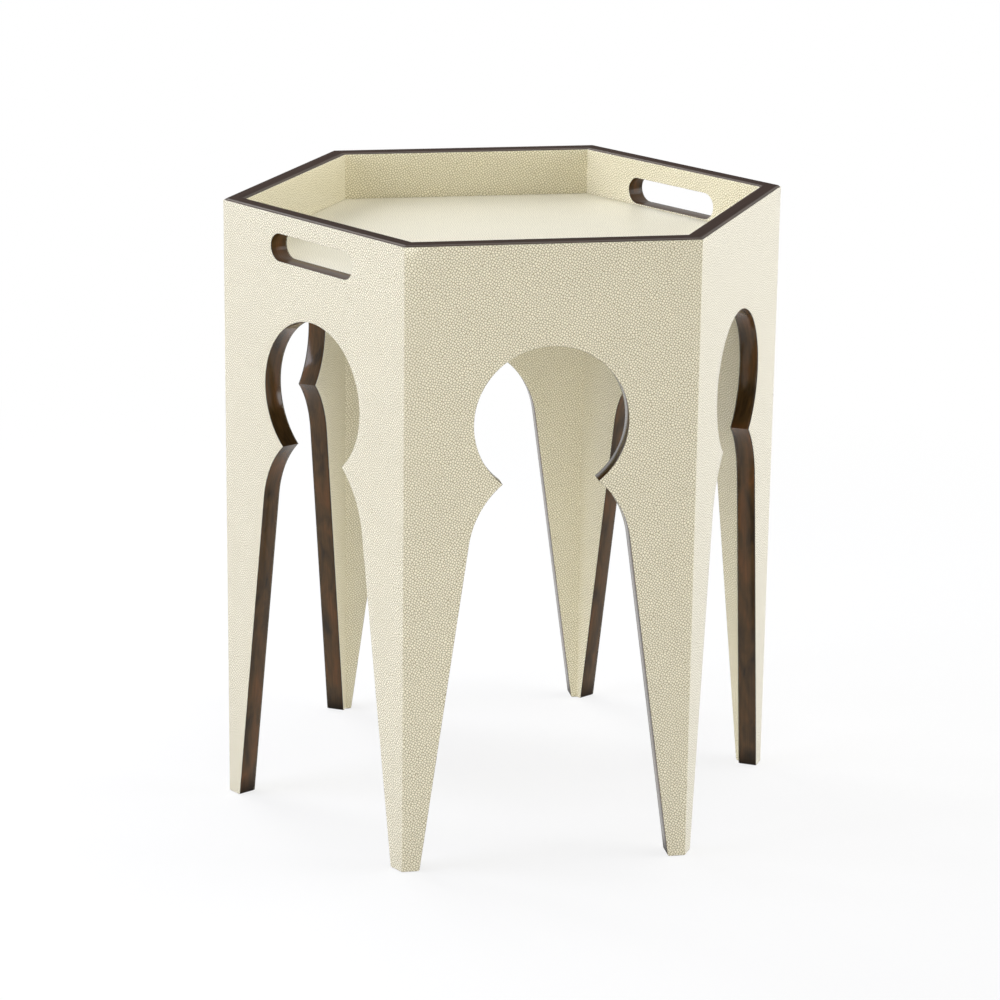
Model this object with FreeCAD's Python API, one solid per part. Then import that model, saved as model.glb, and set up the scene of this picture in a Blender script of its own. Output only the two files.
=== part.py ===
import FreeCAD, Part

import math
import os

# A hexagonal accent table in the Moorish manner.
# Six boards are mitred into a hexagon. Each has a keyhole arch cut through it, which leaves two tapered
# half legs. Both faces of every board are covered with shagreen, and the cut edges are bare stained wood.
# A fixed tray stands on cleats inside, and two opposite sides have a hand slot above it.
# Millimetres, +Z up, origin on the floor below the middle. +X points at a side with a hand slot.

# Whole table, over its covering
corner_span = 508.0
table_height = 558.0
side_names = ("right", "back_right", "back_left", "left", "front_left", "front_right")
corner_names = ("back_right", "back", "back_left", "front_left", "front", "front_right")
slotted_sides = ("right", "left")

# Boards: the rim's two long edges are rounded over, and so is the inner corner of each foot
board_thickness = 16.0
rim_ease = 1.2
foot_ease = 2.5

# Shagreen covering: it starts just off the floor and ends where the rim begins to round
skin_thickness = 0.6
skin_floor_gap = 0.5

# Keyhole arch and legs, measured on the face of a side
arch_radius = 67.0
arch_crown_drop = 89.6
neck_width = 83.5
shoulder_radius = 85.0
shoulder_width = 126.0
foot_width = 15.5

# Hand slots, measured down from the rim
slot_length = 114.5
slot_height = 24.5
slot_drop = 18.5

# Tray: its depth runs from the rim to the covered floor
tray_depth = 44.0
tray_board_thickness = 12.0
tray_clearance = 0.3

# Cleats under the tray, square cut short of the mitre planes
cleat_width = 18.0
cleat_height = 18.0
cleat_end_gap = 7.0

# Countersunk wood screws, with their heads flush in the cleats; being small and many, they have few flats
screw_flat_count = 8
screw_head_diameter = 7.0
screw_head_height = 2.4
screw_head_land = 0.4
screw_diameter = 3.5
screw_point = 4.0
screw_bite = 8.5
screw_clearance = 0.1
screw_spread_share = 0.35

# Splines across the mitres, in grooves that stop short of the floor and the rim
spline_width = 12.0
spline_thickness = 3.0
spline_depth_share = 0.55
spline_floor_gap = 30.0
spline_rim_gap = 25.0
glue_gap = 0.2

# Cutters run past the faces that they cut by this much
overrun = 5.0

# Places that follow from the sizes
side_angle = 360.0 / len(side_names)
mitre = math.radians(side_angle / 2)
apothem = corner_span / 2 * math.cos(mitre)
half_side = corner_span / 2 * math.sin(mitre)
board_face = apothem - skin_thickness
board_back = board_face - board_thickness
inner_face = board_back - skin_thickness
skin_top = table_height - rim_ease
tray_top = table_height - tray_depth
tray_board_top = tray_top - skin_thickness
tray_underside = tray_board_top - tray_board_thickness
cleat_inner_face = inner_face - cleat_width
cleat_underside = tray_underside - cleat_height
cleat_half_length = cleat_inner_face * math.tan(mitre) - cleat_end_gap


def turned(shape, angle):
    """Copy of a shape that was made for the side facing +X, turned about the table's axis."""
    copy = shape.copy()
    copy.rotate(FreeCAD.Vector(), FreeCAD.Vector(0, 0, 1), angle)
    return copy


def line(start, end):
    return Part.LineSegment(start, end).toShape()


def arc(start, middle, end):
    return Part.Arc(start, middle, end).toShape()


def mirrored(point):
    """The point across the middle of a side."""
    return FreeCAD.Vector(point.x, -point.y, point.z)


def through_wall(edges):
    """Cutter with the outline drawn by the edges on the plane x = 0, long enough to pass the whole wall."""
    outline = Part.Face(Part.Wire(edges))
    outline.translate(FreeCAD.Vector(inner_face - overrun, 0, 0))
    return outline.extrude(FreeCAD.Vector(apothem - inner_face + overrun * 2, 0, 0))


def mitred_slab(face, thickness, bottom, top):
    """Upright slab whose outer face is at x = face, with both ends cut on planes through the axis."""
    back = face - thickness
    slope = math.tan(mitre)
    plan = ((face, -face * slope), (face, face * slope), (back, back * slope), (back, -back * slope))
    corners = [FreeCAD.Vector(x, y, bottom) for x, y in plan]
    base = Part.Face(Part.makePolygon(corners + corners[:1]))
    return base.extrude(FreeCAD.Vector(0, 0, top - bottom))


def regular_polygon(radius, count, height):
    """Outline of a lying polygon round the axis, with a flat facing +X."""
    corners = []
    for index in range(count):
        angle = math.pi / count * (index * 2 + 1)
        corners.append(FreeCAD.Vector(radius * math.cos(angle), radius * math.sin(angle), height))
    return Part.makePolygon(corners + corners[:1])


def hexagon_slab(flat, bottom, top):
    """Lying hexagon whose sides are at the distance flat from the axis."""
    base = Part.Face(regular_polygon(flat / math.cos(mitre), len(side_names), bottom))
    return base.extrude(FreeCAD.Vector(0, 0, top - bottom))


def keyhole_cutter():
    """Arch, shoulders and leg gap of a side.

    A circle stands on two cusps at the neck. From each cusp an arc of the shoulder radius swells out and
    runs tangent into the straight edge of the leg, which ends in a small round at the floor.
    """
    centre_height = table_height - arch_crown_drop - arch_radius
    half_neck = neck_width / 2
    crown = FreeCAD.Vector(0, 0, table_height - arch_crown_drop)
    cusp = FreeCAD.Vector(0, half_neck, centre_height - math.sqrt(arch_radius ** 2 - half_neck ** 2))
    toe = FreeCAD.Vector(0, half_side - foot_width, 0)
    leg_up = FreeCAD.Vector(0, shoulder_width / 2, cusp.z) - toe
    leg_up.normalize()
    to_gap = FreeCAD.Vector(0, -leg_up.z, leg_up.y)

    # The shoulder's centre is one radius from the leg's edge and from the cusp
    reach = (cusp - toe).dot(to_gap)
    run = (cusp - toe).dot(leg_up) - math.sqrt(shoulder_radius ** 2 - (shoulder_radius - reach) ** 2)
    leg_top = toe + leg_up * run
    centre = leg_top + to_gap * shoulder_radius
    bulge = (leg_top - centre) + (cusp - centre)
    bulge.normalize()
    shoulder = centre + bulge * shoulder_radius

    # The foot's inner corner, rounded between the leg's edge and the floor
    outward = FreeCAD.Vector(0, 1, 0)
    half_corner = outward.getAngle(leg_up) / 2
    tangent = foot_ease / math.tan(half_corner)
    inward = outward + leg_up
    inward.normalize()
    foot_round = toe + inward * (foot_ease / math.sin(half_corner) - foot_ease)
    foot_low = toe + outward * tangent
    foot_high = toe + leg_up * tangent
    below = foot_low - FreeCAD.Vector(0, 0, overrun)

    edges = [line(mirrored(below), below), line(below, foot_low), arc(foot_low, foot_round, foot_high),
             line(foot_high, leg_top), arc(leg_top, shoulder, cusp), arc(cusp, crown, mirrored(cusp)),
             arc(mirrored(cusp), mirrored(shoulder), mirrored(leg_top)),
             line(mirrored(leg_top), mirrored(foot_high)),
             arc(mirrored(foot_high), mirrored(foot_round), mirrored(foot_low)),
             line(mirrored(foot_low), mirrored(below))]
    return through_wall(edges)


def slot_cutter():
    """Hand slot: two straight edges joined by half circles."""
    radius = slot_height / 2
    straight = slot_length / 2 - radius
    middle = table_height - slot_drop - radius
    upper = FreeCAD.Vector(0, straight, middle + radius)
    lower = FreeCAD.Vector(0, straight, middle - radius)
    tip = FreeCAD.Vector(0, straight + radius, middle)
    edges = [line(mirrored(lower), lower), arc(lower, tip, upper), line(upper, mirrored(upper)),
             arc(mirrored(upper), mirrored(tip), mirrored(lower))]
    return through_wall(edges)


def spline_bar(gap):
    """Spline standing across the mitre plane of the corner at +X, grown by the gap at its ends and edges."""
    middle = (board_face - board_thickness * spline_depth_share) / math.cos(mitre)
    width = spline_width + gap * 2
    bottom = spline_floor_gap - gap
    height = table_height - spline_rim_gap - spline_floor_gap + gap * 2
    corner = FreeCAD.Vector(middle - spline_thickness / 2, -width / 2, bottom)
    return Part.makeBox(spline_thickness, width, height, corner)


def screw(length, grow, above):
    """Countersunk screw pointing down, with its head's top at z = 0.

    The hole for it is the same form, grown all round and carried on above the head.
    """
    head = screw_head_diameter / 2 + grow
    shank = screw_diameter / 2 + grow
    sections = ((head, above), (head, -screw_head_land), (shank, -screw_head_height),
                (shank, screw_point - length))
    outlines = [regular_polygon(radius, screw_flat_count, height) for radius, height in sections]
    tip = Part.Vertex(0, 0, -length - grow)
    return Part.makeLoft(outlines + [tip], True, True)


def side_screws(grow, above):
    """The two screws that hold a cleat to its side, driven outward along +X."""
    made = []
    for spread in (-screw_spread_share, screw_spread_share):
        one = screw(cleat_width + skin_thickness + screw_bite, grow, above)
        one.rotate(FreeCAD.Vector(), FreeCAD.Vector(0, 1, 0), -90)
        height = (tray_underside + cleat_underside) / 2
        one.translate(FreeCAD.Vector(cleat_inner_face, cleat_half_length * 2 * spread, height))
        made.append(one)
    return made


def tray_screw(grow, above):
    """The screw driven up through the middle of a cleat into the tray board."""
    one = screw(cleat_height + screw_bite, grow, above)
    one.rotate(FreeCAD.Vector(), FreeCAD.Vector(1, 0, 0), 180)
    one.translate(FreeCAD.Vector((inner_face + cleat_inner_face) / 2, 0, cleat_underside))
    return one


def eased_blank():
    """Mitred board before its openings are cut, with the rim's long edges rounded over."""
    blank = mitred_slab(board_face, board_thickness, 0, table_height)
    rim = [edge for edge in blank.Edges if all(
        math.isclose(vertex.Z, table_height) for vertex in edge.Vertexes)
        and math.isclose(edge.Vertexes[0].X, edge.Vertexes[1].X)]
    return blank.makeFillet(rim_ease, rim)


def side_board(openings):
    """Board of the side facing +X: arch, slot, spline grooves and the screws' pilot holes."""
    grooves = [turned(spline_bar(glue_gap), turn) for turn in (-side_angle / 2, side_angle / 2)]
    return eased_blank().cut(openings + grooves + side_screws(screw_clearance, overrun))


def outer_covering(openings):
    """Sheet of shagreen on the outside of a board, mitred at the corners and cut flush in the openings."""
    return mitred_slab(apothem, skin_thickness, skin_floor_gap, skin_top).cut(openings)


def inner_covering(openings):
    """Sheet on the inside of a board: the tray's wall above, the inside of the legs below."""
    sheet = mitred_slab(board_back, skin_thickness, skin_floor_gap, skin_top)
    return sheet.cut(openings + side_screws(screw_clearance, overrun))


def tray_cleat():
    """Cleat that the tray rests on, bored for its three screws."""
    corner = FreeCAD.Vector(cleat_inner_face, -cleat_half_length, cleat_underside)
    bar = Part.makeBox(cleat_width, cleat_half_length * 2, cleat_height, corner)
    return bar.cut(side_screws(screw_clearance, overrun) + [tray_screw(screw_clearance, overrun)])


def tray_board(turns):
    """Hexagonal board of the tray, with a pilot hole above each cleat."""
    slab = hexagon_slab(inner_face - tray_clearance, tray_underside, tray_board_top)
    return slab.cut([turned(tray_screw(screw_clearance, overrun), turn) for turn in turns])


pieces = {}
side_turns = [side_angle * index for index in range(len(side_names))]
keyhole = keyhole_cutter()
slot = slot_cutter()

for name, turn in zip(side_names, side_turns):
    openings = [keyhole, slot] if name in slotted_sides else [keyhole]
    pieces["side_board_" + name] = turned(side_board(openings), turn)
    pieces["outer_covering_" + name] = turned(outer_covering(openings), turn)
    pieces["inner_covering_" + name] = turned(inner_covering(openings), turn)
    pieces["tray_cleat_" + name] = turned(tray_cleat(), turn)

for name, turn in zip(corner_names, side_turns):
    pieces["corner_spline_" + name] = turned(spline_bar(0), turn + side_angle / 2)

pieces["tray_board"] = tray_board(side_turns)
pieces["tray_covering"] = hexagon_slab(inner_face - tray_clearance, tray_board_top, tray_top)
pieces["side_screws"] = Part.makeCompound(
    [turned(one, turn) for turn in side_turns for one in side_screws(0, 0)])
pieces["tray_screws"] = Part.makeCompound([turned(tray_screw(0, 0), turn) for turn in side_turns])

os.makedirs("parts", exist_ok=True)
for name, shape in pieces.items():
    shape.exportStep("parts/" + name + ".step")
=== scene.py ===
import math

import bmesh
import bpy
import numpy as np
from mathutils import Matrix, Vector


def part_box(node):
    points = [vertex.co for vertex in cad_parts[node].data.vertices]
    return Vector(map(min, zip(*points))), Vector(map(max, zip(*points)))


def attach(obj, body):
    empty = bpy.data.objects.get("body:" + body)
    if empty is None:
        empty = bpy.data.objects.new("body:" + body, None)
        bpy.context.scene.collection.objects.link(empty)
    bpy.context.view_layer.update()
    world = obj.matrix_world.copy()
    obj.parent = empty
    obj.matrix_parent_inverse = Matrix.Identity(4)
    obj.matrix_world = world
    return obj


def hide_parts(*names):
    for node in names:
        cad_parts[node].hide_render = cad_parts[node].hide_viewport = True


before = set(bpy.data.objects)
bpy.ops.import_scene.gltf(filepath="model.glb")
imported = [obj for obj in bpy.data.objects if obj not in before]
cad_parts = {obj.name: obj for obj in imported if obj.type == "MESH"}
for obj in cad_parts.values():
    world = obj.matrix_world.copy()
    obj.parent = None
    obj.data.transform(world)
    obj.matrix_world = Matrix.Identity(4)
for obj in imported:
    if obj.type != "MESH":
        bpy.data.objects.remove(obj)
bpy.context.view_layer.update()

# Side boards: six walnut boards, mitred into a hexagon with a keyhole arch sawn through each one, which
# leaves two tapered half legs. Two opposite boards also have a hand slot. Every sawn edge is eased, the rim
# most, and is stained dark along its grain and lacquered to a satin sheen.

side_names = ("right", "back_right", "back_left", "left", "front_left", "front_right")
slotted_sides = ("right", "left")
side_turn = math.tau / len(side_names)
mitre_slope = math.tan(side_turn / 2)
board_low, board_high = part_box("side_board_right")
board_face = board_high.x
board_back = board_low.x
table_height = board_high.z
half_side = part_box("outer_covering_right")[1].x * mitre_slope
arch_radius = 0.067
arch_crown_drop = 0.0896
neck_width = 0.0835
shoulder_radius = 0.085
shoulder_width = 0.126
foot_width = 0.0155
foot_ease = 0.0025
slot_length = 0.1145
slot_height = 0.0245
slot_drop = 0.0185
rim_ease = 0.003
edge_ease = 0.0006
foot_steps = 4
leg_steps = 10
shoulder_steps = 14
arch_side_steps = 24
slot_straight_steps = 10
slot_end_steps = 14
rim_side_steps = 6
leg_across_steps = 6
ease_steps = 3
weld_distance = 1e-6
crease_angle = math.radians(35)
pattern_step = 0.37
noise_range = (0.3, 0.7)
cloud_scale = (26, 75, 1)
cloud_distortion = 0.5
streak_scale = (14, 800, 1)
streak_detail = 4
pore_scale = (60, 2600, 1)
pore_detail = 3
pore_strength = 0.35
pore_depth = 0.0001
walnut_tones = ((0.3, (0.026, 0.0155, 0.006, 1)), (0.5, (0.068, 0.036, 0.0115, 1)),
                (0.72, (0.118, 0.050, 0.0145, 1)))
streak_shade = (0.8, 1.15)
walnut_roughness = (0.65, 0.5)
walnut_lacquer_roughness = 0.15
walnut_lacquer_ior = 1.38
# Painted shade and reflection: the rim's top is painted a darker, greyer brown
rim_shade_and_reflection = (0.056, 0.040, 0.034, 1)
rim_shade_share = 0.85
rim_top_band = (table_height - rim_ease / 6, table_height - rim_ease / 30)
# Painted highlight: the rim's rounds are painted a paler brown
round_painted_highlight = (0.105, 0.086, 0.073, 1)
round_highlight_share = 0.8
round_band = (table_height - 1.2 * rim_ease, table_height - 0.9 * rim_ease)
slot_foot = table_height - slot_drop - slot_height
slot_floor_band = (slot_foot + slot_height / 8, slot_foot + slot_height / 3)
# Painted reflection: the slots' floors are painted a paler brown; the lacquer is also thinner there
slot_reflection_and_wear_reach = 0.03
slot_reflection_and_wear_band = (slot_foot - slot_reflection_and_wear_reach, slot_foot)
slot_lacquer = 0.4
slot_painted_reflection = (0.170, 0.112, 0.075, 1)
slot_reflection_share = 0.6
# Painted shade: the wood's edges are painted darker towards the floor, near-black where the feet stand
foot_painted_shade = (0.010, 0.008, 0.006, 1)
foot_shade_and_scuff_reach = 0.02
foot_shade_share = 0.9
foot_lacquer = 0.25


def unit(vectors):
    """Each vector divided by its own length."""
    vectors = np.asarray(vectors, float)
    return vectors / np.linalg.norm(vectors, axis=-1, keepdims=True)


def arc(centre, radius, start, end, steps):
    """Points at equal angles on a circle, centre plus radius times each direction, and the directions."""
    angle = np.linspace(start, end, steps + 1)
    way = np.stack([np.cos(angle), np.sin(angle)], 1)
    return np.asarray(centre) + radius * way, way


def corner_way(first, second):
    """Way into the wood at a corner: both edges' ways added, and stretched so that each moves in by one."""
    return (first + second) / (1 + first @ second)


def bearing(start, end):
    """Angle of the line from one point to another."""
    return math.atan2(end[1] - start[1], end[0] - start[0])


def keyhole(bottom):
    """Edge of the opening from one foot over the arch to the other, and the way into the wood at each point.

    Points are (across, height). Half of it is a foot's round, the straight leg, the shoulder's arc up to the
    cusp and the arch up to its crown; the other half is its mirror image.
    """
    arch_centre = np.array([0, table_height - arch_crown_drop - arch_radius])
    cusp = arch_centre + [neck_width / 2, -math.sqrt(arch_radius ** 2 - (neck_width / 2) ** 2)]
    toe = np.array([half_side - foot_width, 0])
    leg_up = unit(np.array([shoulder_width / 2, cusp[1]]) - toe)
    to_gap = np.array([-leg_up[1], leg_up[0]])

    # The shoulder's centre is one radius from the leg's edge and from the cusp
    reach = (cusp - toe) @ to_gap
    run = (cusp - toe) @ leg_up - math.sqrt(shoulder_radius ** 2 - (shoulder_radius - reach) ** 2)
    leg_top = toe + leg_up * run
    shoulder_centre = leg_top + to_gap * shoulder_radius

    # The foot's round touches the floor and the leg's edge
    outward = np.array([1, 0])
    half_corner = math.acos(outward @ leg_up) / 2
    foot_centre = toe + unit(outward + leg_up) * foot_ease / math.sin(half_corner)
    foot_start = math.asin((foot_ease - bottom) / foot_ease) - math.pi
    foot_end = math.atan2(to_gap[1], to_gap[0])
    foot, foot_way = arc(foot_centre, foot_ease, foot_start, foot_end, foot_steps)
    leg = np.linspace(foot[-1], leg_top, leg_steps + 1)
    shoulder, shoulder_way = arc(shoulder_centre, shoulder_radius, bearing(shoulder_centre, leg_top),
                                 bearing(shoulder_centre, cusp), shoulder_steps)
    arch_steps = arch_side_steps + slot_straight_steps + slot_end_steps
    arch, arch_way = arc(arch_centre, arch_radius, bearing(arch_centre, cusp), math.pi / 2, arch_steps)
    foot_way = -foot_way
    foot_way[0] = corner_way(foot_way[0], np.array([0, 1]))
    arch_way[0] = corner_way(shoulder_way[-1], arch_way[0])
    leg_way = np.repeat(-to_gap[None], leg_steps, 0)
    points = np.concatenate([foot[:-1], leg[:-1], shoulder[:-1], arch])
    ways = np.concatenate([foot_way[:-1], leg_way, shoulder_way[:-1], arch_way])
    mirror = np.array([-1, 1])
    return np.concatenate([points, points[-2::-1] * mirror]), np.concatenate([ways, ways[-2::-1] * mirror])


def rim_places(half_width, drop):
    """Places across a side, from +half_width to -half_width, even over the hand slot and then at even angles
    round its end: the slot's straight half plus the drop times the tangent of the angle."""
    straight = (slot_length - slot_height) / 2
    even = np.linspace(0, straight, slot_straight_steps + 1)
    last = math.atan((half_width - straight) / drop)
    round_end = straight + drop * np.tan(np.linspace(0, last, slot_end_steps + 1))
    half = np.concatenate([even, round_end[1:]])
    return np.concatenate([half[::-1], -half[1:]])


def slab_patches(face, back, bottom, top, ease, rim, arris, slotted):
    """One side's board or sheet between two upright planes, as grids of points and of pattern places.

    Each face is a ruled surface: lines run from the keyhole's edge to the mitred ends and to a level line
    below the slot, and from there to the rim or round the slot. The edges are a profile of two quarter
    rounds and a flat, carried along the whole outline. All of it is for the side facing +X.
    """
    width = face * mitre_slope
    thickness = face - back
    slot_middle = table_height - slot_drop - slot_height / 2
    level = slot_middle * 2 - top
    key, key_way = keyhole(bottom)
    places = rim_places(width, top - slot_middle)
    half_count = len(key) // 2 + 1
    side_count = half_count - slot_straight_steps - slot_end_steps
    cusp_count = side_count - arch_side_steps
    low_heights = np.concatenate([np.maximum(key[:cusp_count, 1], bottom),
                                  np.linspace(key[cusp_count - 1, 1], level, arch_side_steps + 1)[1:]])
    low_heights[0] = bottom
    high_heights = np.linspace(level, top, rim_side_steps + 1)
    heights = np.concatenate([low_heights, high_heights[1:]])

    def climb(height):
        """Share of the way up from the foot to the rim."""
        return (height - bottom) / (top - bottom)

    def lift(height):
        """How far a mitred end's point moves along the end where the rim and the foot are eased."""
        return ease - climb(height) * (ease + rim)

    def softness(height):
        """Size of the soft arris at a height: full, but fading out at the foot and at the rim."""
        return arris * np.minimum(1, np.minimum(height - bottom, top - height) / (rim + foot_ease))

    def stretch(points, share, inset, round_size, soft, sawn=1):
        """A stretch of the outline: points, share of the mitre's slope, inset, size of the round, soft arris.

        It is sawn where the skin's edge was stained, which is not in the mitres or along the rim.
        """
        count = len(points)
        columns = ((share, count), (inset, (count, 2)), (round_size, count), (soft, count), (sawn, count))
        return [np.asarray(points, float), *(np.broadcast_to(value, shape) for value, shape in columns)]

    def end_stretch(sign, up):
        """A mitred end, from the foot up to the rim or back."""
        rows = heights if up else heights[::-1]
        points = np.stack([np.full(len(rows), sign * width), rows], 1)
        inset = np.stack([np.zeros(len(rows)), lift(rows)], 1)
        sizes = ease + climb(rows) * (rim - ease)
        return stretch(points, sign, inset, sizes, softness(rows), rows == bottom)

    def foot_stretch(sign, outward):
        """The foot's underside, from the keyhole's edge to the mitred end or back."""
        inner = np.linspace(0, 1, leg_across_steps + 1)[1:-1][::1 if outward else -1]
        points = np.stack([sign * (key[0, 0] + (width - key[0, 0]) * inner), np.full(len(inner), bottom)], 1)
        inset = np.stack([sign * key_way[0, 0] * (1 - inner), np.ones(len(inner))], 1) * ease
        return stretch(points, sign * inner, inset, ease, 0)

    rim_points = np.stack([places[::-1], np.full(len(places), top)], 1)
    rim_stretch = stretch(rim_points[1:-1], rim_points[1:-1, 0] / width, (0, -rim), rim, 0, 0)
    outline = [np.concatenate(columns) for columns in zip(
        stretch(key, 0, key_way * ease, ease, 0), foot_stretch(-1, True),
        end_stretch(-1, True), rim_stretch, end_stretch(1, False), foot_stretch(1, False))]

    quarter = np.linspace(0, math.pi / 2, ease_steps + 1)
    inward = np.concatenate([1 - np.sin(quarter), 1 - np.sin(quarter[::-1])])
    depth_in = np.concatenate([1 - np.cos(quarter), 1 - np.cos(quarter[::-1])])
    from_back = np.repeat([0, 1], ease_steps + 1)
    soft_turn = side_turn / 2 * np.linspace(0, 1, ease_steps + 1)

    def edge_band(points, share, inset, round_size, soft, sawn):
        """The profile carried along an outline.

        Each point moves by its inset times (1 - sin), at a depth of its round's size times (1 - cos). At a
        soft arris the first quarter is a round of that size, which turns as far as the mitre does.
        """
        rounded = round_size[:, None] * depth_in
        depth = np.where(from_back, thickness - rounded, rounded)
        softened = (soft > 0)[:, None] & (from_back == 0)
        turn = np.concatenate([soft_turn, soft_turn])
        depth = np.where(softened, soft[:, None] * (1 - np.cos(turn)), depth)
        across = points[:, None, 0] + inset[:, None, 0] * inward - share[:, None] * depth * mitre_slope
        pulled = points[:, None, 0] - share[:, None] * soft[:, None] * (mitre_slope - np.sin(turn))
        across = np.where(softened, pulled, across)
        height = points[:, None, 1] + inset[:, None, 1] * inward
        band = np.stack([face - depth, across, height], -1)
        band = np.concatenate([band, band[:1]])
        along = np.concatenate([[0], np.cumsum(np.linalg.norm(np.diff(band[:, 0], axis=0), axis=1))])
        step = np.linalg.norm(np.diff(band, axis=1), axis=2).max(0)
        over = np.concatenate([[0], np.cumsum(step)])
        band_places = np.stack(np.broadcast_arrays(along[:, None], over), -1)
        return band, band_places, np.minimum(sawn, np.roll(sawn, -1))[:, None]

    def flat(points, share, depth, soft):
        """A face's grid: points moved to the face's plane, with the mitre's slope and the soft arris."""
        across = points[..., 0] - share * (depth * mitre_slope + soft * mitre_slope * (depth == 0))
        placed = np.stack([np.full(across.shape, face - depth), across, points[..., 1]], -1)
        return placed, np.stack([across, points[..., 1]], -1)

    def between(low, high, steps):
        """Straight lines from each low point to its high point, in equal steps."""
        share = np.linspace(0, 1, steps + 1)[:, None, None]
        return low + (high - low) * share

    level_height = level + lift(level)
    outer_low = np.concatenate([
        np.stack([np.full(side_count - 1, width), (low_heights + lift(low_heights))[:-1]], 1),
        np.stack([places, np.full(len(places), level_height)], 1),
        np.stack([np.full(side_count - 1, -width), (low_heights + lift(low_heights))[-2::-1]], 1)])
    low_points = between(key + key_way * ease, outer_low, leg_across_steps)
    low_share = between(np.zeros((len(key), 1)), outer_low[:, :1] / width, leg_across_steps)[..., 0]
    low_soft = np.zeros(low_share.shape)
    low_soft[-1, :side_count] = softness(low_heights)
    low_soft[-1, -side_count:] = softness(low_heights)[::-1]

    side_heights = high_heights + lift(high_heights)
    side_soft = softness(high_heights)
    level_points = np.stack([places, np.full(len(places), level_height)], 1)
    rim_line = np.stack([places, np.full(len(places), top - rim)], 1)
    if slotted:
        left = np.stack([np.full(rim_side_steps + 1, -width), side_heights], 1)
        right = np.stack([np.full(rim_side_steps + 1, width), side_heights[::-1]], 1)
        ring = np.concatenate([level_points, left[1:], rim_line[-2::-1], right[1:]])
        ring_soft = np.concatenate([np.zeros(len(places) - 1), side_soft,
                                    np.zeros(len(places) - 2), side_soft[::-1]])
        ring_soft[0] = side_soft[0]
        straight = (slot_length - slot_height) / 2
        middle = np.stack([np.clip(ring[:, 0], -straight, straight), np.full(len(ring), slot_middle)], 1)
        slot_way = unit(ring - middle)
        slot_edge = middle + slot_way * slot_height / 2
        high_points = between(slot_edge + slot_way * ease, ring, rim_side_steps)
        high_share = between(np.zeros((len(ring), 1)), ring[:, :1] / width, rim_side_steps)[..., 0]
        high_soft = np.zeros(high_share.shape)
        high_soft[-1] = ring_soft
        slot_loop = stretch(slot_edge[:-1], 0, (slot_way * ease)[:-1], ease, 0)
    else:
        high_points = between(level_points, rim_line, rim_side_steps)
        high_points[:, :, 1] = side_heights[:, None]
        high_share = high_points[..., 0] / width
        high_soft = np.zeros(high_share.shape)
        high_soft[:, 0] = side_soft
        high_soft[:, -1] = side_soft

    patches = []
    for depth, outward in ((0, 1), (thickness, -1)):
        patches.append((*flat(low_points, low_share, depth, low_soft), 0, outward))
        turned_way = -outward if slotted else outward
        patches.append((*flat(high_points, high_share, depth, high_soft), 0, turned_way))
    patches.append((*edge_band(*outline), 1))
    if slotted:
        patches.append((*edge_band(*slot_loop), -1))
    return patches


def turned(points, angle):
    """Points turned about the table's axis: x cos - y sin, x sin + y cos."""
    cos, sin = math.cos(angle), math.sin(angle)
    return points @ np.array([[cos, sin, 0], [-sin, cos, 0], [0, 0, 1]])


def at_side(patches, index):
    """A side's grids turned to its place, with the pattern moved along so that no two sides are alike."""
    return [(turned(grid, side_turn * index), place + [pattern_step * index, 0], sawn, way)
            for grid, place, sawn, way in patches]


def grid_piece(name, patches, material):
    """Mesh of grids of points: each cell is a four-sided face, facing out, and grids that meet are merged."""
    points, places, faces, sawn_cells = [], [], [], []
    start = 0
    for grid, place, sawn, way in patches:
        rows, columns = grid.shape[:2]
        index = start + np.arange(rows * columns).reshape(rows, columns)
        cell = np.stack([index[:-1, :-1], index[1:, :-1], index[1:, 1:], index[:-1, 1:]], -1).reshape(-1, 4)
        faces.append(cell if way > 0 else cell[:, ::-1])
        points.append(grid.reshape(-1, 3))
        places.append(place.reshape(-1, 2))
        sawn_cells.append(np.broadcast_to(sawn, (rows - 1, columns - 1)).ravel())
        start += rows * columns
    lists = (points, places, faces, sawn_cells)
    points, places, faces, sawn_cells = (np.concatenate(part) for part in lists)
    mesh = bpy.data.meshes.new(name)
    mesh.from_pydata(points, [], faces)
    layer = mesh.uv_layers.new(name="places")
    layer.uv.foreach_set("vector", places[faces.ravel()].astype(np.float32).ravel())
    sawn_layer = mesh.attributes.new("sawn", "FLOAT", "FACE")
    sawn_layer.data.foreach_set("value", sawn_cells.astype(np.float32))
    merged = bmesh.new()
    merged.from_mesh(mesh)
    bmesh.ops.remove_doubles(merged, verts=merged.verts, dist=weld_distance)
    merged.to_mesh(mesh)
    merged.free()
    mesh.shade_smooth()
    mesh.set_sharp_from_angle(angle=crease_angle)
    mesh.materials.append(material)
    piece = bpy.data.objects.new(name, mesh)
    bpy.context.scene.collection.objects.link(piece)
    return piece


def new_material(name):
    """A material, its shader tree and the tree's one surface shader."""
    material = bpy.data.materials.new(name)
    material.use_nodes = True
    tree = material.node_tree
    return material, tree, tree.nodes["Principled BSDF"]


def wire(tree, node, **inputs):
    """Sets a shader node's named inputs to values, or joins them to other nodes' outputs."""
    for key, value in inputs.items():
        socket = node.inputs[key.replace("_", " ")]
        if isinstance(value, bpy.types.NodeSocket):
            tree.links.new(value, socket)
        else:
            socket.default_value = value


def linked(tree, kind, **inputs):
    """A new shader node with its named inputs set or joined."""
    node = tree.nodes.new(kind)
    wire(tree, node, **inputs)
    return node


def pattern_places(tree):
    """The pattern's places, which a piece's mesh carries."""
    node = tree.nodes.new("ShaderNodeUVMap")
    node.uv_map = "places"
    return node.outputs["UV"]


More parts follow.
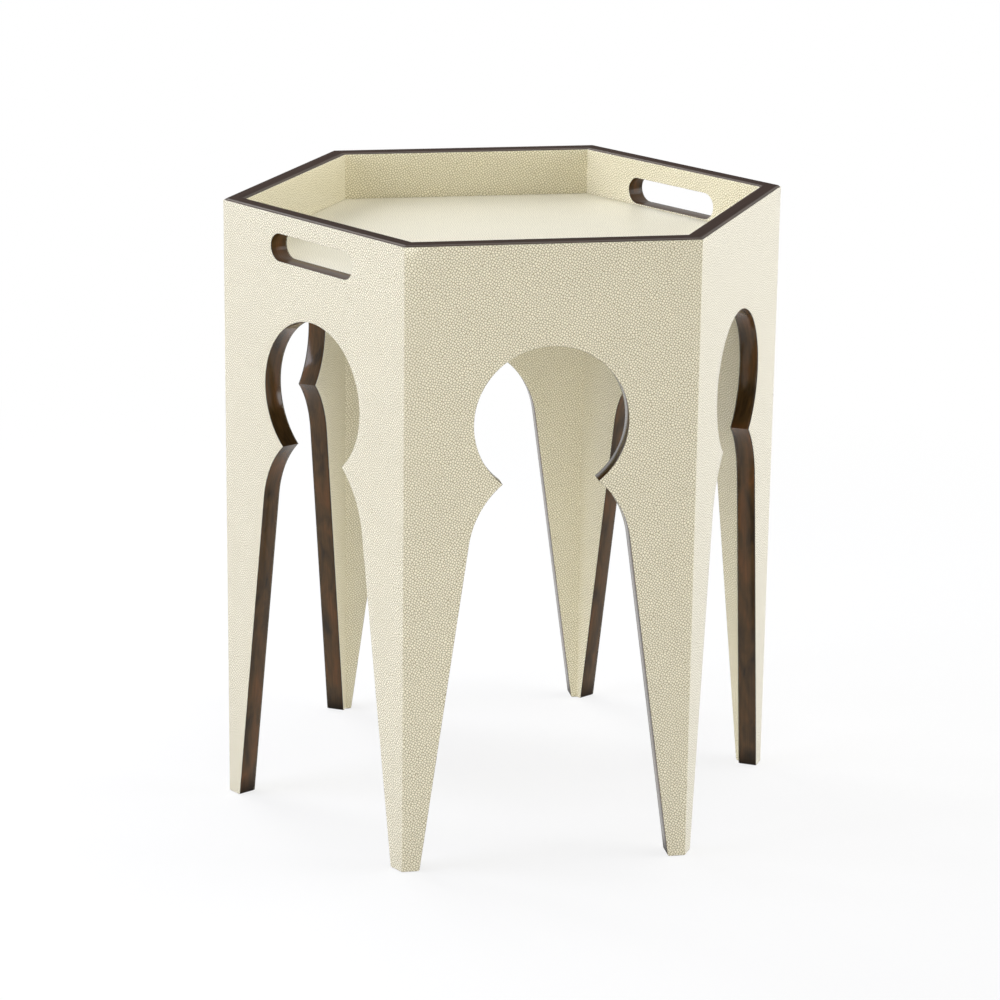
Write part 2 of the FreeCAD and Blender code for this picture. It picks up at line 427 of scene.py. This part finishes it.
def ranged(tree, value, low, high, start=0, end=1, smooth=False):
    """A value's way from low to high, made to run from start to end and held there on both sides."""
    node = linked(tree, "ShaderNodeMapRange", Value=value, From_Min=low, From_Max=high, To_Min=start,
                  To_Max=end)
    if smooth:
        node.interpolation_type = "SMOOTHSTEP"
    return node.outputs["Result"]


def combined(tree, operation, first, second):
    """Two values joined by one step of arithmetic."""
    node = tree.nodes.new("ShaderNodeMath")
    node.operation = operation
    tree.links.new(first, node.inputs[0])
    tree.links.new(second, node.inputs[1])
    return node.outputs["Value"]


def toned(tree, value, stops):
    """A colour for each value, blended between stops of (value, colour)."""
    node = linked(tree, "ShaderNodeValToRGB", Fac=value)
    elements = node.color_ramp.elements
    elements[0].position, elements[0].color = stops[0]
    elements[1].position, elements[1].color = stops[-1]
    for position, colour in stops[1:-1]:
        elements.new(position).color = colour
    return node.outputs["Color"]


def tinted(tree, under, share, colour):
    """The colour below it, mixed with another colour by a share from 0 to 1."""
    mix = tree.nodes.new("ShaderNodeMix")
    mix.data_type = "RGBA"
    tree.links.new(share, mix.inputs["Factor"])
    tree.links.new(under, mix.inputs[6])
    mix.inputs[7].default_value = colour
    return mix.outputs[2]


def shaded(tree, colour, strength):
    """A colour made lighter or darker: each of its parts times a strength."""
    node = linked(tree, "ShaderNodeVectorMath", Vector=colour)
    node.operation = "SCALE"
    tree.links.new(strength, node.inputs["Scale"])
    return node.outputs["Vector"]


def relief(tree, height, strength, depth):
    """Fine relief of a height from 0 to 1, for the surface's normal."""
    return linked(tree, "ShaderNodeBump", Height=height, Strength=strength, Distance=depth).outputs["Normal"]


def walnut():
    """Dark stained walnut: brown, olive and reddish clouds drawn out along the edge, with streaks and pores.

    The places are (along the edge, across it). Noise is stretched along the first, so that the grain follows
    every curve of the opening. The rim's top is painted a darker, greyer brown and has no lacquer: painted
    shade and a painted dim reflection. The rim's rounds are painted paler, a painted highlight, and the
    slots' floors a paler brown, a painted reflection; the lacquer is worn thin in the slots. The edges are
    painted darker towards the floor, near-black at the feet's ends, a painted shade where the feet stand,
    and their lacquer is scuffed.
    """
    material, tree, shader = new_material("lacquered_walnut")
    places = pattern_places(tree)

    def grain(scale, detail, distortion=0):
        """Noise over the places times a scale that differs along the edge and across it."""
        drawn = linked(tree, "ShaderNodeMapping", Vector=places, Scale=scale)
        noise = linked(tree, "ShaderNodeTexNoise", Vector=drawn.outputs["Vector"], Scale=1, Detail=detail,
                       Distortion=distortion)
        return noise.outputs["Fac"]

    clouds = grain(cloud_scale, streak_detail, cloud_distortion)
    streaks = grain(streak_scale, streak_detail)
    pores = grain(pore_scale, pore_detail)
    position = tree.nodes.new("ShaderNodeTexCoord")
    height = linked(tree, "ShaderNodeSeparateXYZ", Vector=position.outputs["Object"]).outputs["Z"]

    # Shares by height: painted shade at the foot's end, a painted reflection on the slot's floor, a painted
    # highlight on the rim's rounds, and painted shade and reflection on the rim's top
    on_foot = ranged(tree, height, 0, foot_shade_and_scuff_reach, foot_shade_share, 0)
    above_arch = ranged(tree, height, *slot_reflection_and_wear_band, 0, slot_reflection_share)
    in_slot = ranged(tree, height, *slot_floor_band, above_arch, 0)
    on_round = ranged(tree, height, *round_band, 0, round_highlight_share)
    on_rim = ranged(tree, height, *rim_top_band)
    rim_share = ranged(tree, on_rim, 0, 1, 0, rim_shade_share)

    colour = toned(tree, clouds, walnut_tones)
    for share, tint in ((on_foot, foot_painted_shade), (in_slot, slot_painted_reflection), (on_round, round_painted_highlight),
                        (rim_share, rim_shade_and_reflection)):
        colour = tinted(tree, colour, share, tint)
    scuffed = ranged(tree, height, 0, foot_shade_and_scuff_reach, foot_lacquer, 1)
    worn = ranged(tree, height, *slot_reflection_and_wear_band, scuffed, slot_lacquer)
    wire(tree, shader, Base_Color=shaded(tree, colour, ranged(tree, streaks, *noise_range, *streak_shade)),
         Normal=relief(tree, pores, pore_strength, pore_depth),
         Roughness=ranged(tree, streaks, *noise_range, *walnut_roughness), Specular_IOR_Level=0,
         Coat_Weight=ranged(tree, on_rim, 0, 1, worn, 0), Coat_Roughness=walnut_lacquer_roughness,
         Coat_IOR=walnut_lacquer_ior)
    return material


walnut_finish = walnut()
for index, name in enumerate(side_names):
    patches = slab_patches(board_face, board_back, 0, table_height, edge_ease, rim_ease, 0,
                           name in slotted_sides)
    board = grid_piece("walnut_board_" + name, at_side(patches, index), walnut_finish)
    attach(board, "root")
    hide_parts("side_board_" + name)

# Corner splines: six thin beech strips, glued into stopped grooves across the mitres. They are out of sight
# inside the corners, so their solids stay and only get their wood.

corner_names = ("back_right", "back", "back_left", "front_left", "front", "front_right")
grain_length = 0.16
grain_width = 0.006
grain_detail = 6
grain_distortion = 0.3
grain_strength = 0.4
grain_depth = 0.0002
beech_dark = (0.36, 0.22, 0.12, 1)
beech_light = (0.55, 0.39, 0.23, 1)
beech_roughness = 0.6


def straight_wood(name, turn, dark, light, roughness):
    """Straight-grained wood: noise drawn out along X, which is turned to run along the piece's own grain."""
    material, tree, shader = new_material(name)
    places = tree.nodes.new("ShaderNodeTexCoord")
    along = linked(tree, "ShaderNodeMapping", Vector=places.outputs["Object"], Rotation=turn,
                   Scale=(grain_length, grain_width, grain_width))
    along.vector_type = "TEXTURE"
    noise = linked(tree, "ShaderNodeTexNoise", Vector=along.outputs["Vector"], Scale=1, Detail=grain_detail,
                   Distortion=grain_distortion)
    grain = noise.outputs["Fac"]
    low, high = noise_range
    wire(tree, shader, Base_Color=toned(tree, grain, ((low, dark), (high, light))),
         Normal=relief(tree, grain, grain_strength, grain_depth), Roughness=roughness)
    return material


beech = straight_wood("beech", (0, math.pi / 2, 0), beech_dark, beech_light, beech_roughness)
for name in corner_names:
    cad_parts["corner_spline_" + name].material_slots[0].material = beech

# Outside coverings: one sheet of ivory shagreen on each board, glued flat, mitred at the corners and trimmed
# flush with the board's opening and feet, and just below the rim's round. Its cut edges are stained along
# with the wood, but for the one along the rim.

skin_low, skin_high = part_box("outer_covering_right")
skin_trim = 0.0005
skin_edge_ease = 0.00015
skin_arris = 0.0008
pebble_pitch = 0.0023
pebble_relief = 0.00003
pebble_randomness = 0.75
pebble_turn = math.radians(31)
pebble_drift = 0.0022
pebble_drift_length = 0.012
pebble_colour = (0.872, 0.82, 0.655, 1)
groove_colour = (0.32, 0.272, 0.15, 1)
cut_stain = (0.026, 0.016, 0.010, 1)
groove_flank = (0.02, 0.22)
dome_reach = 0.7
dome_edge = 0.45
pebble_full_height = 0.62
mottle_scale = 22
mottle_range = (0.5, 1.5)
mottle_shade = (0.97, 1.03)
pebble_roughness = (0.55, 0.4)
skin_lacquer = 0.8
skin_lacquer_roughness = 0.22


def shagreen(name, pebble, groove, lacquer, lacquer_roughness, stained_edge):
    """Ivory shagreen: close round pebbles with a darker, greener groove round each, under a clear lacquer.

    A cell pattern gives the distance to the groove and the distance to each pebble's middle. The first cuts
    the groove, the second domes the pebble, and a random value for each cell shades it a little. The colour
    follows that height, darker in the groove and towards each pebble's edge: partly the groove's own darker
    colour and partly painted shade in the hollows. Soft noise moves the cells a little, so that their rows
    wander.
    """
    material, tree, shader = new_material(name)
    places = pattern_places(tree)
    drift = linked(tree, "ShaderNodeTexNoise", Vector=places, Scale=1 / pebble_drift_length, Detail=1)
    wander = tree.nodes.new("ShaderNodeVectorMath")
    wander.operation = "MULTIPLY_ADD"
    tree.links.new(drift.outputs["Color"], wander.inputs[0])
    wander.inputs[1].default_value = (pebble_drift, pebble_drift, 0)
    tree.links.new(places, wander.inputs[2])
    lie = linked(tree, "ShaderNodeMapping", Vector=wander.outputs["Vector"], Rotation=(0, 0, pebble_turn))
    cell_scale = 1 / (pebble_pitch * math.sqrt(math.sqrt(3) / 2))

    def cells(feature):
        """The cell pattern, measured from the cells' middles or from their edges."""
        node = linked(tree, "ShaderNodeTexVoronoi", Vector=lie.outputs["Vector"], Scale=cell_scale,
                      Randomness=pebble_randomness)
        node.voronoi_dimensions = "2D"
        node.feature = feature
        return node

    pebbles = cells("F1")
    flank = ranged(tree, cells("DISTANCE_TO_EDGE").outputs["Distance"], *groove_flank, smooth=True)
    dome = ranged(tree, pebbles.outputs["Distance"], 0, dome_reach, 1, dome_edge)
    height = combined(tree, "MULTIPLY", flank, dome)
    # Partly painted shade: the colour runs from the groove's darker colour in the hollows to the pebble's at
    # its top
    tone = toned(tree, height, ((0, groove), (pebble_full_height, pebble)))
    mottle = linked(tree, "ShaderNodeTexNoise", Vector=places, Scale=mottle_scale, Detail=3)
    shade = combined(tree, "ADD", mottle.outputs["Fac"], pebbles.outputs["Color"])
    surface = shaded(tree, tone, ranged(tree, shade, *mottle_range, *mottle_shade))
    coat = lacquer
    if stained_edge:
        sawn = tree.nodes.new("ShaderNodeAttribute")
        sawn.attribute_name = "sawn"
        surface = tinted(tree, surface, sawn.outputs["Fac"], cut_stain)
        coat = ranged(tree, sawn.outputs["Fac"], 0, 1, lacquer, 0)
    wire(tree, shader, Base_Color=surface, Normal=relief(tree, height, 1, pebble_relief),
         Roughness=ranged(tree, height, 0, 1, *pebble_roughness), Coat_Weight=coat,
         Coat_Roughness=lacquer_roughness)
    return material


outside_skin = shagreen("ivory_shagreen", pebble_colour, groove_colour, skin_lacquer,
                        skin_lacquer_roughness, True)
for index, name in enumerate(side_names):
    patches = slab_patches(skin_high.x, board_face, skin_low.z, skin_high.z - skin_trim, skin_edge_ease,
                           skin_edge_ease, skin_arris, name in slotted_sides)
    sheet = grid_piece("outside_shagreen_" + name, at_side(patches, index), outside_skin)
    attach(sheet, "root")
    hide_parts("outer_covering_" + name)

# Inside coverings: one sheet of shagreen on the inside of each board, from the rim past the tray to the feet,
# so that it is both the tray's wall and the inside of the legs. It is painted a shade paler than the outside
# ones, painted light that brightens the inside, and is glued and trimmed like them.

inner_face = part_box("inner_covering_right")[0].x
# Painted light: the same shagreen painted a shade paler, so that the inside reads brighter
inside_lit_pebble_colour = (0.955, 0.90, 0.70, 1)
inside_lit_groove_colour = (0.455, 0.394, 0.20, 1)
inside_skin = shagreen("pale_ivory_shagreen", inside_lit_pebble_colour, inside_lit_groove_colour, skin_lacquer,
                       skin_lacquer_roughness, True)
for index, name in enumerate(side_names):
    patches = slab_patches(board_back, inner_face, skin_low.z, skin_high.z - skin_trim, skin_edge_ease,
                           skin_edge_ease, 0, name in slotted_sides)
    sheet = grid_piece("inside_shagreen_" + name, at_side(patches, index), inside_skin)
    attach(sheet, "root")
    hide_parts("inner_covering_" + name)

# Tray cleats: six bars of stained wood under the tray, one screwed to the inside of each side. Their solids
# stay, with the grain along each bar.

stain_dark = (0.020, 0.011, 0.007, 1)
stain_light = (0.075, 0.038, 0.022, 1)
stain_roughness = 0.5
for index, name in enumerate(side_names):
    bar_turn = (0, 0, math.pi / 2 + side_turn * index)
    bar_wood = straight_wood("stained_cleat_" + name, bar_turn, stain_dark, stain_light, stain_roughness)
    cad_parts["tray_cleat_" + name].material_slots[0].material = bar_wood

# Screws: countersunk steel screws with a cross recess. Two hold each cleat to its side, and one driven up
# through the middle of each cleat holds the tray board down.

cleat_low, cleat_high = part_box("tray_cleat_right")
side_screw_length = 0.0271
tray_screw_length = 0.0265
side_screw_spread = 0.35
head_radius = 0.0033
head_height = 0.0024
head_land = 0.0004
core_radius = 0.0012
thread_height = 0.0004
thread_pitch = 0.0018
point_length = 0.004
cross_reach = 0.0021
cross_width = 0.0009
cross_depth = 0.0013
cross_flank = 0.0002
round_steps = 40
recess_rings = 12
thread_rows_each = 3
steel_dark = (0.38, 0.38, 0.37, 1)
steel_light = (0.68, 0.68, 0.66, 1)
steel_roughness = (0.25, 0.45)
steel_mark_scale = 900


def steel():
    """Zinc-plated steel: a cool grey that varies a little from place to place, with fine turning marks."""
    material, tree, shader = new_material("plated_steel")
    places = tree.nodes.new("ShaderNodeTexCoord")
    noise = linked(tree, "ShaderNodeTexNoise", Vector=places.outputs["Object"], Scale=steel_mark_scale,
                   Detail=3)
    marks = noise.outputs["Fac"]
    wire(tree, shader, Base_Color=toned(tree, marks, ((0, steel_dark), (1, steel_light))),
         Roughness=ranged(tree, marks, 0, 1, *steel_roughness), Metallic=1)
    return material


def screw_patch(length):
    """Screw pointing down with its head's top at 0: rings of points from the head's middle to the tip.

    A cross of two bars is sunk into the head, deeper towards the middle. The cone runs into the core, whose
    radius grows by a ridge, a cosine that climbs one pitch in each turn and fades out at both ends.
    """
    angle = np.linspace(0, math.tau, round_steps + 1)
    flat_radius = np.linspace(0, head_radius, recess_rings)[:, None]
    across, along = np.abs(flat_radius * np.cos(angle)), np.abs(flat_radius * np.sin(angle))

    def bar(side, end):
        """Depth from 0 to 1 of one bar of the cross, with steep flanks at its sides and end."""
        inside_side = np.clip((cross_width / 2 - side) / cross_flank + 0.5, 0, 1)
        return inside_side * np.clip((cross_reach - end) / cross_flank + 0.5, 0, 1)

    cross = np.maximum(bar(across, along), bar(along, across))
    sunk = cross * cross_depth * (1 - flat_radius / head_radius / 2)
    straight_rows = int((length - head_height - point_length) / thread_pitch * thread_rows_each)
    down = np.linspace(head_height, length - point_length, straight_rows + 1)[:, None]
    fade = np.clip(np.minimum(down - head_height, length - point_length - down) / thread_pitch, 0, 1)
    ridge = 0.5 + 0.5 * np.cos(math.tau * down / thread_pitch - angle)
    lower_radius = core_radius + thread_height * ridge * fade
    ring = np.ones(len(angle))
    radius = np.concatenate([flat_radius * ring, head_radius * ring[None], lower_radius, 0 * ring[None]])
    height = np.concatenate([-sunk, -head_land * ring[None], -down * ring, -length * ring[None]])
    grid = np.stack([radius * np.cos(angle), radius * np.sin(angle), height], -1)
    return grid, grid[..., :2]


steel_finish = steel()
side_grid, side_places = screw_patch(side_screw_length)
outward = side_grid @ np.array([[0, 0, 1], [0, 1, 0], [-1, 0, 0]])
spread = (cleat_high.y - cleat_low.y) * side_screw_spread
cleat_middle = (cleat_low.z + cleat_high.z) / 2
side_patches = [(turned(outward + [cleat_low.x, place, cleat_middle], side_turn * index), side_places, 0, 1)
                for index in range(len(side_names)) for place in (-spread, spread)]
side_screw_set = grid_piece("cleat_to_side_screws", side_patches, steel_finish)
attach(side_screw_set, "root")
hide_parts("side_screws")

tray_grid, tray_places = screw_patch(tray_screw_length)
upward = tray_grid * [1, -1, -1] + [(cleat_low.x + cleat_high.x) / 2, 0, cleat_low.z]
tray_patches = [(turned(upward, side_turn * index), tray_places, 0, 1) for index in range(len(side_names))]
tray_screw_set = grid_piece("cleat_to_tray_screws", tray_patches, steel_finish)
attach(tray_screw_set, "root")
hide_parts("tray_screws")

# Tray board: a hexagon of stained wood that rests on the cleats and is held down by a screw through each one.
# It is seen only from below, and its solid stays.

tray_wood = straight_wood("stained_tray_board", (0, 0, 0), stain_dark, stain_light, stain_roughness)
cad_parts["tray_board"].material_slots[0].material = tray_wood

# Tray covering: one hexagonal sheet of shagreen with paler grooves and a thinner lacquer than the walls have,
# glued on the tray board, with its border eased where it meets the walls.

sheet_low, sheet_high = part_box("tray_covering")
sheet_edge_ease = 0.0003
tray_pebble_colour = (0.82, 0.78, 0.62, 1)
tray_groove_colour = (0.555, 0.517, 0.40, 1)
sheet_side_steps = 10
sheet_rings = 20
tray_lacquer = 0.3
tray_lacquer_roughness = 0.4


def hexagon_patch():
    """Hexagonal sheet: a profile of top, eased border and underside carried round it, as shares of its reach.

    The reach at an angle is the distance to a side divided by the cosine of the angle from its middle.
    """
    angle = side_turn / 2 + np.linspace(0, math.tau, len(side_names) * sheet_side_steps + 1)
    from_middle = (angle + side_turn / 2) % side_turn - side_turn / 2
    reach = sheet_high.x / np.cos(from_middle)
    quarter = np.linspace(0, math.pi / 2, ease_steps + 1)
    inset = np.concatenate([np.linspace(sheet_high.x, sheet_edge_ease, sheet_rings + 1)[:-1],
                            sheet_edge_ease * (1 - np.sin(quarter)), [0, sheet_high.x]])
    eased = sheet_high.z - sheet_edge_ease * (1 - np.cos(quarter))
    height = np.concatenate([np.full(sheet_rings, sheet_high.z), eased, [sheet_low.z, sheet_low.z]])
    radius = (1 - inset / sheet_high.x)[:, None] * reach
    grid = np.stack([radius * np.cos(angle), radius * np.sin(angle),
                     np.broadcast_to(height[:, None], radius.shape)], -1)
    return grid, grid[..., :2]


tray_skin = shagreen("tray_shagreen", tray_pebble_colour, tray_groove_colour, tray_lacquer,
                     tray_lacquer_roughness, False)
tray_sheet = grid_piece("tray_shagreen", [(*hexagon_patch(), 0, 1)], tray_skin)
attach(tray_sheet, "root")
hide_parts("tray_covering")

# Camera: a long lens a little above the rim, level but for a slight roll, turned so that one side faces it
# almost squarely with a slotted side to the left. All of it was fitted to the photograph's edges.

camera_azimuth = math.radians(-40.736)
camera_elevation = math.radians(16.309)
camera_roll = math.radians(0.723)
camera_distance = 3.09
camera_target = np.array([-0.00194, 0.00108, 0.27006])
camera_lens = 121.05
camera_sensor = 36
back = np.array([math.sin(camera_azimuth) * math.cos(camera_elevation),
                 -math.cos(camera_azimuth) * math.cos(camera_elevation), math.sin(camera_elevation)])
level_right = np.array([math.cos(camera_azimuth), math.sin(camera_azimuth), 0])
level_up = np.cross(back, level_right)
right = level_right * math.cos(camera_roll) + level_up * math.sin(camera_roll)
up = level_up * math.cos(camera_roll) - level_right * math.sin(camera_roll)
camera = bpy.data.objects.new("camera", bpy.data.cameras.new("camera"))
camera.data.lens = camera_lens
camera.data.sensor_width = camera_sensor
camera_place = np.eye(4)
camera_place[:3, :3] = np.stack([right, up, back], 1)
camera_place[:3, 3] = camera_target + back * camera_distance
camera.matrix_world = Matrix(camera_place)
bpy.context.scene.collection.objects.link(camera)
bpy.context.scene.camera = camera

# Floor and studio: a white floor that runs on into a white background, and six large soft lamps, to the left
# and right of the table, over it, in front and behind. The camera and reflections see floor and background
# as white, and the floor still takes a faint shadow.

floor_reach = 8
floor_colour = (0.9, 0.9, 0.9, 1)
white = (1, 1, 1, 1)
floor_white_near = 0.8
floor_shadow_reach = 0.5
floor_white_reach = 1.5
ambient_light = 0.08
lamp_aim = np.array([0, 0, 0.35])
cold_white = (0.83, 0.862, 1.0)
plain_white = (0.98, 0.985, 1.0)
warm_white = (1.0, 0.97, 0.85)
# Each lamp's name, degrees round from the camera, degrees up, size, power and colour
lamps = (("left_lamp", 282, 26, 1.5, 48, cold_white), ("right_lamp", 88, 15, 1.5, 32, plain_white),
         ("top_lamp", 120, 80, 1.5, 28, plain_white), ("front_lamp", 0, 5, 0.9, 21.5, warm_white),
         ("back_left_lamp", 225, 35, 1.5, 38, plain_white), ("back_right_lamp", 112, 6, 1.5, 12, plain_white))
lamp_distance = 2.6


def seen_directly(tree):
    """Light Path's share of rays that come from the camera, a reflection or through glass."""
    path = tree.nodes.new("ShaderNodeLightPath")
    mirrored = combined(tree, "MAXIMUM", path.outputs["Is Glossy Ray"], path.outputs["Is Transmission Ray"])
    return combined(tree, "MAXIMUM", path.outputs["Is Camera Ray"], mirrored)


floor_paint, tree, plain_shader = new_material("white_floor")
tree.nodes.remove(plain_shader)
matt = linked(tree, "ShaderNodeBsdfDiffuse", Color=floor_colour)
glow = linked(tree, "ShaderNodeEmission", Color=white, Strength=1)
glow.name = "white"
floor_places = tree.nodes.new("ShaderNodeTexCoord")
from_table = linked(tree, "ShaderNodeVectorMath", Vector=floor_places.outputs["Object"])
from_table.operation = "LENGTH"
whiteness = ranged(tree, from_table.outputs["Value"], floor_shadow_reach, floor_white_reach,
                   floor_white_near, 1, smooth=True)
white_share = combined(tree, "MULTIPLY", seen_directly(tree), whiteness)
floor_mix = linked(tree, "ShaderNodeMixShader", Fac=white_share)
tree.links.new(matt.outputs["BSDF"], floor_mix.inputs[1])
tree.links.new(glow.outputs["Emission"], floor_mix.inputs[2])
tree.links.new(floor_mix.outputs["Shader"], tree.nodes["Material Output"].inputs["Surface"])
floor_mesh = bpy.data.meshes.new("floor")
floor_corners = np.array([(-1, -1, 0), (1, -1, 0), (1, 1, 0), (-1, 1, 0)]) * floor_reach
floor_mesh.from_pydata(floor_corners, [], [(0, 1, 2, 3)])
floor_mesh.materials.append(floor_paint)
floor = bpy.data.objects.new("floor", floor_mesh)
bpy.context.scene.collection.objects.link(floor)

world = bpy.data.worlds.new("studio")
world.use_nodes = True
bpy.context.scene.world = world
tree = world.node_tree
ambient = tree.nodes["Background"]
wire(tree, ambient, Color=white, Strength=ambient_light)
backdrop = linked(tree, "ShaderNodeBackground", Color=white, Strength=1)
backdrop.name = "white"
world_mix = linked(tree, "ShaderNodeMixShader", Fac=seen_directly(tree))
tree.links.new(ambient.outputs["Background"], world_mix.inputs[1])
tree.links.new(backdrop.outputs["Background"], world_mix.inputs[2])
tree.links.new(world_mix.outputs["Shader"], tree.nodes["World Output"].inputs["Surface"])

for name, turn, rise, size, power, colour in lamps:
    plan = camera_azimuth + math.radians(turn)
    rise = math.radians(rise)
    way = np.array([math.sin(plan) * math.cos(rise), -math.cos(plan) * math.cos(rise), math.sin(rise)])
    lamp = bpy.data.lights.new(name, "AREA")
    lamp.shape = "SQUARE"
    lamp.size = size
    lamp.energy = power
    lamp.color = colour
    lamp_object = bpy.data.objects.new(name, lamp)
    lamp_object.location = lamp_aim + way * lamp_distance
    lamp_object.rotation_euler = Vector(way).to_track_quat("Z", "Y").to_euler()
    bpy.context.scene.collection.objects.link(lamp_object)

bpy.context.scene.view_settings.view_transform = "Standard"
